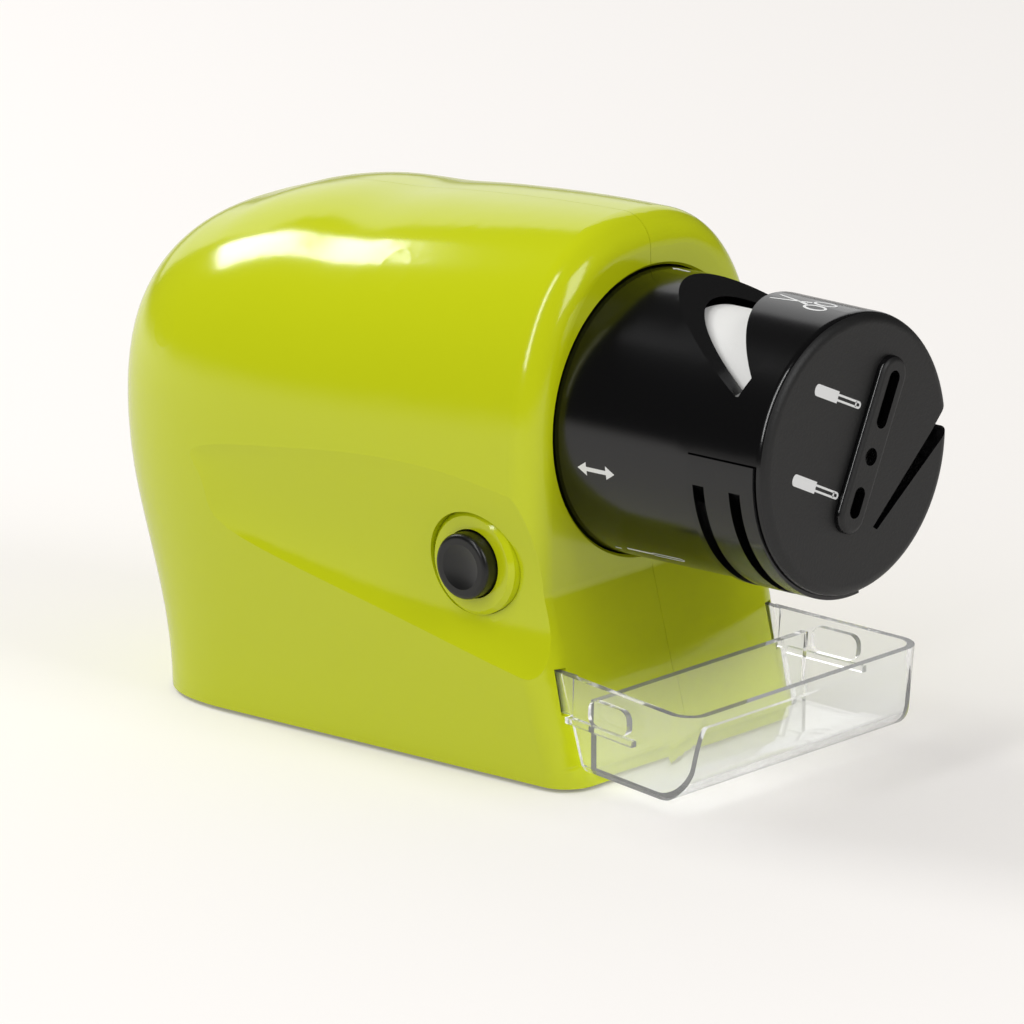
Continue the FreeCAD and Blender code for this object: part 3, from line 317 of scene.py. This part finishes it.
def build_sign(name, shapes, place, thickness):
    """Makes one thin piece on the head from outlines: cut into strips, laid down and thickened."""
    mesh = bpy.data.meshes.new(name)
    form = bmesh.new()
    for outline in shapes:
        verts = [form.verts.new((p[0], p[1], 0)) for p in outline]
        form.faces.new(verts)
    bmesh.ops.remove_doubles(form, verts=form.verts, dist=0.01)
    for strip in range(-5, 6):
        bmesh.ops.bisect_plane(form, geom=form.verts[:] + form.edges[:] + form.faces[:],
                               plane_co=(0, SIGN_CUT * strip, 0), plane_no=(0, 1, 0), dist=1e-5)
    bmesh.ops.recalc_face_normals(form, faces=form.faces)
    for face in form.faces:
        if face.normal.z < 0:
            face.normal_flip()
    shell = bmesh.ops.extrude_face_region(form, geom=form.faces[:])
    lifted = [g for g in shell["geom"] if isinstance(g, bmesh.types.BMVert)]
    tops = set(lifted)
    for vert in form.verts:
        vert.co = place(vert.co.x * MM, vert.co.y * MM, thickness if vert in tops else 0.0)
    bmesh.ops.recalc_face_normals(form, faces=form.faces)
    form.to_mesh(mesh)
    form.free()
    piece = bpy.data.objects.new(name, mesh)
    bpy.context.scene.collection.objects.link(piece)
    mesh.materials.append(printed_ink())
    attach(piece, "head")


def on_barrel(radius, face_x, spot):
    """Places sign coordinates on the barrel: u runs along X, v round it, from -Y towards +Z."""
    behind, angle_deg = spot
    x0 = face_x - behind * MM
    middle = math.radians(angle_deg)

    def place(u, v, lift):
        angle = middle + v / radius(x0, middle)
        reach = radius(x0 + u, angle) + SIGN_LIFT + lift
        return Vector((x0 + u, -reach * math.cos(angle), HEAD_AXIS_Z + reach * math.sin(angle)))
    return place


def on_face(face_x, spot):
    """Places sign coordinates on the front face of the head."""
    across, up, turn_deg = spot
    turn = Matrix.Rotation(math.radians(turn_deg), 2)

    def place(u, v, lift):
        flat = turn @ Vector((u, v))
        return Vector((face_x + SIGN_LIFT + lift, across * MM + flat.x, HEAD_AXIS_Z + up * MM + flat.y))
    return place


# User settings

class SharpenerLook(bpy.types.PropertyGroup):
    housing_hex: bpy.props.StringProperty(
        name="Housing colour", description="sRGB hex colour of the housing", default="#C6D010")
    housing_roughness: bpy.props.FloatProperty(
        name="Housing roughness", description="Polish of the housing", default=0.14, min=0.0, max=1.0,
        subtype="FACTOR")
    barrel_hex: bpy.props.StringProperty(
        name="Barrel colour", description="sRGB hex colour of the barrel", default="#080809")
    face_hex: bpy.props.StringProperty(
        name="Face colour", description="sRGB hex colour of the head's textured face", default="#131313")
    face_grain: bpy.props.FloatProperty(
        name="Face grain", description="Spacing of the texture on the head's face", default=0.5 * MM,
        subtype="DISTANCE", unit="LENGTH")
    face_x: bpy.props.FloatProperty(
        name="Face position", description="Where the head's front face is along X", default=84.25 * MM,
        subtype="DISTANCE", unit="LENGTH")
    stone_hex: bpy.props.StringProperty(
        name="Stone colour", description="sRGB hex colour of the grinding stone", default="#F1F1EF")
    tray_hex: bpy.props.StringProperty(
        name="Tray colour", description="sRGB hex colour of the tray's plastic", default="#FDFEFE")
    tray_roughness: bpy.props.FloatProperty(
        name="Tray roughness", description="Polish of the tray", default=0.03, min=0.0, max=1.0,
        subtype="FACTOR")


class SharpenerSigns(bpy.types.PropertyGroup):
    ink: bpy.props.FloatProperty(
        name="Ink thickness", description="How far the printed signs stand proud", default=0.04 * MM,
        subtype="DISTANCE", unit="LENGTH")
    knife_length: bpy.props.FloatProperty(
        name="Knife sign", description="Length of each knife sign on the face", default=14.4 * MM,
        subtype="DISTANCE", unit="LENGTH")
    arrow_length: bpy.props.FloatProperty(
        name="Double arrow", description="Length of the double arrow", default=9.0 * MM,
        subtype="DISTANCE", unit="LENGTH")
    scissors_length: bpy.props.FloatProperty(
        name="Scissors sign", description="Length of the scissors sign", default=13.6 * MM,
        subtype="DISTANCE", unit="LENGTH")
    tool_length: bpy.props.FloatProperty(
        name="Slim tool sign", description="Length of the slim tool sign", default=14.0 * MM,
        subtype="DISTANCE", unit="LENGTH")


class SharpenerStudio(bpy.types.PropertyGroup):
    backdrop_hex: bpy.props.StringProperty(
        name="Backdrop", description="sRGB hex colour seen behind the object", default="#FEF9F4")
    lamp_power: bpy.props.FloatProperty(
        name="Lamp power", description="Power of the main soft box", default=6.0, min=0.0, unit="POWER")
    room: bpy.props.FloatProperty(
        name="Room light", description="Strength of the even light from all round", default=0.42, min=0.0)
    room_mirrored: bpy.props.FloatProperty(
        name="Mirrored room", description="Strength of the room as seen in glossy surfaces", default=0.06,
        min=0.0)
    floor_glow: bpy.props.FloatProperty(
        name="Floor glow", description="Light that the camera sees added to the floor", default=0.19, min=0.0)
    azimuth: bpy.props.FloatProperty(
        name="Azimuth", description="Camera direction, from -Y towards +X", default=math.radians(41.42),
        subtype="ANGLE")
    elevation: bpy.props.FloatProperty(
        name="Elevation", description="Camera height as an angle", default=math.radians(15.62),
        subtype="ANGLE")
    roll: bpy.props.FloatProperty(
        name="Roll", description="Tilt of the picture", default=math.radians(-0.40), subtype="ANGLE")
    distance: bpy.props.FloatProperty(
        name="Distance", description="From the camera to the head's face", default=2521.2 * MM,
        subtype="DISTANCE", unit="LENGTH")
    aside: bpy.props.FloatProperty(
        name="Aside", description="Camera's shift to its left", default=64.31 * MM, subtype="DISTANCE",
        unit="LENGTH")
    below: bpy.props.FloatProperty(
        name="Below", description="Camera's shift downwards", default=10.57 * MM, subtype="DISTANCE",
        unit="LENGTH")
    lens: bpy.props.FloatProperty(
        name="Lens", description="Focal length on a 36 mm sensor", default=475.6, unit="CAMERA")


# Operators

class SHARPENER_OT_housing(bpy.types.Operator):
    """Finishes the two housing shells and the ring round the button"""
    bl_idname = "sharpener.housing"
    bl_label = "Housing"

    def execute(self, context):
        finish(["left_shell", "right_shell", "button_bezel"], glossy_abs(context.scene.sharpener_look))
        return {"FINISHED"}


class SHARPENER_OT_head(bpy.types.Operator):
    """Finishes the turning head and its knife guide"""
    bl_idname = "sharpener.head"
    bl_label = "Head"

    def execute(self, context):
        look = context.scene.sharpener_look
        finish(["head_barrel"], barrel_abs(look))
        # the guide is moulded apart in the same black ABS, polished
        finish(["knife_guide"], moulded_plastic("ABS_moulded_black_polished", linear(look.barrel_hex), 0.2))
        return {"FINISHED"}


class SHARPENER_OT_stone(bpy.types.Operator):
    """Finishes the grinding stone"""
    bl_idname = "sharpener.stone"
    bl_label = "Grinding stone"

    def execute(self, context):
        finish(["grinding_stone"], white_alumina(context.scene.sharpener_look))
        return {"FINISHED"}


class SHARPENER_OT_button(bpy.types.Operator):
    """Finishes the push button"""
    bl_idname = "sharpener.button"
    bl_label = "Push button"

    def execute(self, context):
        # satin black ABS: soft wide highlights in the dimple
        finish(["button_cap"], moulded_plastic("ABS_moulded_black_satin", linear("#0A0A0A"), 0.33))
        return {"FINISHED"}


class SHARPENER_OT_tray(bpy.types.Operator):
    """Finishes the clear filings tray"""
    bl_idname = "sharpener.tray"
    bl_label = "Filings tray"

    def execute(self, context):
        finish(["filings_tray"], clear_polystyrene(context.scene.sharpener_look))
        return {"FINISHED"}


class SHARPENER_OT_base(bpy.types.Operator):
    """Finishes the base plate, battery door, feet and cells"""
    bl_idname = "sharpener.base"
    bl_label = "Base and batteries"

    def execute(self, context):
        # base mouldings: matt black ABS with a fine spark texture
        matt = moulded_plastic("ABS_moulded_black_matt", linear("#1B1C1B"), 0.55, spacing_mm=0.6,
                               height_mm=0.03)
        finish(["base_plate", "battery_door"], matt)
        # feet: moulded rubber, dull and nearly black
        finish(["rubber_feet"], moulded_plastic("rubber_moulded_black", linear("#161616"), 0.8))
        # cells: lacquered steel jackets
        finish(["battery_cells"], moulded_plastic("steel_lacquered_blue", linear("#2B5566"), 0.3))
        finish(["contact_plates"], metal("nickel_plated_strip", linear("#C9C2B4"), 0.3))
        return {"FINISHED"}


class SHARPENER_OT_works(bpy.types.Operator):
    """Finishes the motor, drive, switch and fastenings"""
    bl_idname = "sharpener.works"
    bl_label = "Motor and drive"

    def execute(self, context):
        # drawn steel: plain grey with a soft sheen
        finish(["motor_can", "motor_shaft", "spindle", "detent_spring", "battery_springs"],
               metal("steel_drawn", linear("#B4B4B4"), 0.32))
        # zinc-plated screws and nut
        finish(["case_screws", "base_screws", "head_screw", "hub_nut"],
               metal("steel_zinc_plated", linear("#8E8E8C"), 0.38))
        # sintered bronze bush
        finish(["spindle_bush"], metal("bronze_sintered", linear("#B08A54"), 0.45))
        # inner mouldings: natural dark nylon, dull
        finish(["head_collar", "stone_hub", "drive_coupling", "motor_end_bell", "motor_cradle",
                "switch_plunger", "switch_body"],
               moulded_plastic("nylon_moulded_dark", linear("#2A2A2B"), 0.5))
        return {"FINISHED"}


class SHARPENER_OT_signs(bpy.types.Operator):
    """Prints the white signs on the barrel and on its face"""
    bl_idname = "sharpener.signs"
    bl_label = "Printed signs"

    def execute(self, context):
        signs = context.scene.sharpener_signs
        face_x = context.scene.sharpener_look.face_x
        radius = barrel_radius()
        knife = knife_sign(signs.knife_length / MM, blade_width=2.3, handle_width=1.45, line=0.42)
        arrow = double_arrow(signs.arrow_length / MM, head=2.1, width=0.85)
        scissors = scissors_sign(signs.scissors_length / MM, line=0.55)
        tool = slim_tool_sign(signs.tool_length / MM, line=0.55)
        tail = pointer(length=4.2, width=1.1)
        mark = stroke([(0, 0), (1.3, 0)], 0.5)
        build_sign("sign_knife_upper", knife, on_face(face_x, KNIFE_UPPER), signs.ink)
        build_sign("sign_knife_lower", knife, on_face(face_x, KNIFE_LOWER), signs.ink)
        build_sign("sign_double_arrow", arrow, on_barrel(radius, face_x, DOUBLE_ARROW), signs.ink)
        build_sign("sign_pointer", tail, on_barrel(radius, face_x, POINTER), signs.ink)
        build_sign("sign_scissors", scissors, on_barrel(radius, face_x, SCISSORS), signs.ink)
        build_sign("sign_slim_tool", tool, on_barrel(radius, face_x, SLIM_TOOL), signs.ink)
        build_sign("sign_mark", mark, on_barrel(radius, face_x, SHORT_MARK), signs.ink)
        return {"FINISHED"}


def soft_box(name, target, azimuth_deg, elevation_deg, distance, size, power):
    """A white rectangular lamp that stands in a direction from the target and looks at it."""
    azimuth = math.radians(azimuth_deg)
    elevation = math.radians(elevation_deg)
    away = Vector((math.cos(elevation) * math.sin(azimuth), -math.cos(elevation) * math.cos(azimuth),
                   math.sin(elevation)))
    data = bpy.data.lights.new(name, "AREA")
    data.shape = "RECTANGLE"
    data.size, data.size_y = size
    data.energy = power
    lamp = bpy.data.objects.new(name, data)
    lamp.location = target + away * distance
    lamp.rotation_euler = (-away).to_track_quat("-Z", "Y").to_euler()
    bpy.context.scene.collection.objects.link(lamp)


class SHARPENER_OT_studio(bpy.types.Operator):
    """Builds the floor, the backdrop light, the soft boxes and the camera"""
    bl_idname = "sharpener.studio"
    bl_label = "Studio"

    def execute(self, context):
        studio = context.scene.sharpener_studio
        self.floor(studio)
        self.world(context, studio)
        self.lights(studio)
        self.camera(context, studio)
        return {"FINISHED"}

    def floor(self, studio):
        # matt paper: the lit part shows the backdrop's colour, and the object's shadow darkens it
        material, tree = start_material("paper_matt_backdrop")
        rays = add_node(tree, "ShaderNodeLightPath")
        paper = add_node(tree, "ShaderNodeBsdfPrincipled", {
            "Base Color": linear("#E2E0DE"), "Roughness": 1.0, "Specular IOR Level": 0.0})
        glow = add_node(tree, "ShaderNodeEmission", {
            "Color": linear(studio.backdrop_hex), "Strength": studio.floor_glow})
        none = add_node(tree, "ShaderNodeEmission", {"Strength": 0.0})
        seen = add_node(tree, "ShaderNodeMath", {0: rays.outputs["Is Camera Ray"],
                                                 1: rays.outputs["Is Transmission Ray"]}, operation="MAXIMUM")
        lit = add_node(tree, "ShaderNodeMixShader", {
            0: seen.outputs[0], 1: none.outputs[0], 2: glow.outputs[0]})
        both = add_node(tree, "ShaderNodeAddShader", {0: paper.outputs["BSDF"], 1: lit.outputs[0]})
        close_material(tree, both.outputs[0])
        mesh = bpy.data.meshes.new("floor")
        half = FLOOR_HALF
        corners = [(-half, -half, 0), (half, -half, 0), (half, half, 0), (-half, half, 0)]
        mesh.from_pydata(corners, [], [(0, 1, 2, 3)])
        mesh.materials.append(material)
        floor = bpy.data.objects.new("floor", mesh)
        bpy.context.scene.collection.objects.link(floor)

    def world(self, context, studio):
        world = bpy.data.worlds.new("studio")
        world.use_nodes = True
        tree = world.node_tree
        tree.nodes.clear()
        rays = add_node(tree, "ShaderNodeLightPath")
        seen = add_node(tree, "ShaderNodeMath", {0: rays.outputs["Is Camera Ray"],
                                                 1: rays.outputs["Is Transmission Ray"]}, operation="MAXIMUM")
        # mirrored surroundings are darker than the light they give, as between soft boxes in a dim room
        strength = add_node(tree, "ShaderNodeMath", {
            0: rays.outputs["Is Glossy Ray"], 1: studio.room_mirrored - studio.room, 2: studio.room},
            operation="MULTIPLY_ADD")
        room = add_node(tree, "ShaderNodeBackground", {
            "Color": linear("#F4F2F0"), "Strength": strength.outputs[0]})
        back = add_node(tree, "ShaderNodeBackground", {"Color": linear(studio.backdrop_hex), "Strength": 1.0})
        mix = add_node(tree, "ShaderNodeMixShader", {
            0: seen.outputs[0], 1: room.outputs[0], 2: back.outputs[0]})
        add_node(tree, "ShaderNodeOutputWorld", {"Surface": mix.outputs[0]})
        context.scene.world = world

    def lights(self, studio):
        target = Vector((0, 0, AIM_HEIGHT))
        power = studio.lamp_power
        # mirrored as the bright patch on the shoulder of the housing
        soft_box("softbox_left", target, -85, 37, distance=1.2, size=(0.36, 0.40), power=power)
        # mirrored as the thin line down the housing's front edge
        soft_box("strip_front", target, 7, 42, distance=1.2, size=(0.14, 1.2), power=power * 0.9)
        # lights the front wall, the head's face and the tray
        soft_box("softbox_right", target, 88, 34, distance=1.3, size=(0.5, 0.7), power=power * 0.8)
        # lit white wall behind the object, mirrored in a pale band along the roof
        soft_box("wall_behind", target, -130, 22, distance=1.6, size=(1.5, 1.1), power=power * 0.8)

    def camera(self, context, studio):
        face = Vector((context.scene.sharpener_look.face_x, 0, HEAD_AXIS_Z))
        back = Vector((math.cos(studio.elevation) * math.sin(studio.azimuth),
                       -math.cos(studio.elevation) * math.cos(studio.azimuth), math.sin(studio.elevation)))
        level = Vector((math.cos(studio.azimuth), math.sin(studio.azimuth), 0))
        upright = back.cross(level)
        right = level * math.cos(studio.roll) + upright * math.sin(studio.roll)
        up = upright * math.cos(studio.roll) - level * math.sin(studio.roll)
        data = bpy.data.cameras.new("camera")
        data.lens = studio.lens
        data.sensor_width = SENSOR_WIDTH
        data.clip_end = 50.0
        camera = bpy.data.objects.new("camera", data)
        turn = Matrix((right, up, back)).transposed().to_4x4()
        spot = face - right * studio.aside - up * studio.below + back * studio.distance
        camera.matrix_world = Matrix.Translation(spot) @ turn
        bpy.context.scene.collection.objects.link(camera)
        context.scene.camera = camera


class SHARPENER_PT_panel(bpy.types.Panel):
    bl_idname = "SHARPENER_PT_panel"
    bl_label = "Sharpener"
    bl_space_type = "VIEW_3D"
    bl_region_type = "UI"
    bl_category = "Sharpener"

    def draw(self, context):
        for group in (context.scene.sharpener_look, context.scene.sharpener_signs,
                      context.scene.sharpener_studio):
            for name in group.__annotations__:
                self.layout.prop(group, name)
        for operator in OPERATORS:
            self.layout.operator(operator.bl_idname)


GROUPS = (SharpenerLook, SharpenerSigns, SharpenerStudio)
OPERATORS = (SHARPENER_OT_housing, SHARPENER_OT_head, SHARPENER_OT_stone, SHARPENER_OT_button,
             SHARPENER_OT_tray, SHARPENER_OT_base, SHARPENER_OT_works, SHARPENER_OT_signs,
             SHARPENER_OT_studio)


def register():
    for cls in GROUPS + OPERATORS + (SHARPENER_PT_panel,):
        bpy.utils.register_class(cls)
    bpy.types.Scene.sharpener_look = bpy.props.PointerProperty(type=SharpenerLook)
    bpy.types.Scene.sharpener_signs = bpy.props.PointerProperty(type=SharpenerSigns)
    bpy.types.Scene.sharpener_studio = bpy.props.PointerProperty(type=SharpenerStudio)


def unregister():
    del bpy.types.Scene.sharpener_look
    del bpy.types.Scene.sharpener_signs
    del bpy.types.Scene.sharpener_studio
    for cls in reversed(GROUPS + OPERATORS + (SHARPENER_PT_panel,)):
        bpy.utils.unregister_class(cls)


def main():
    register()
    bpy.ops.sharpener.housing()
    bpy.ops.sharpener.head()
    bpy.ops.sharpener.stone()
    bpy.ops.sharpener.button()
    bpy.ops.sharpener.tray()
    bpy.ops.sharpener.base()
    bpy.ops.sharpener.works()
    bpy.ops.sharpener.signs()
    bpy.ops.sharpener.studio()
    bpy.context.scene.view_settings.view_transform = "Standard"


if __name__ == "__main__":
    main()
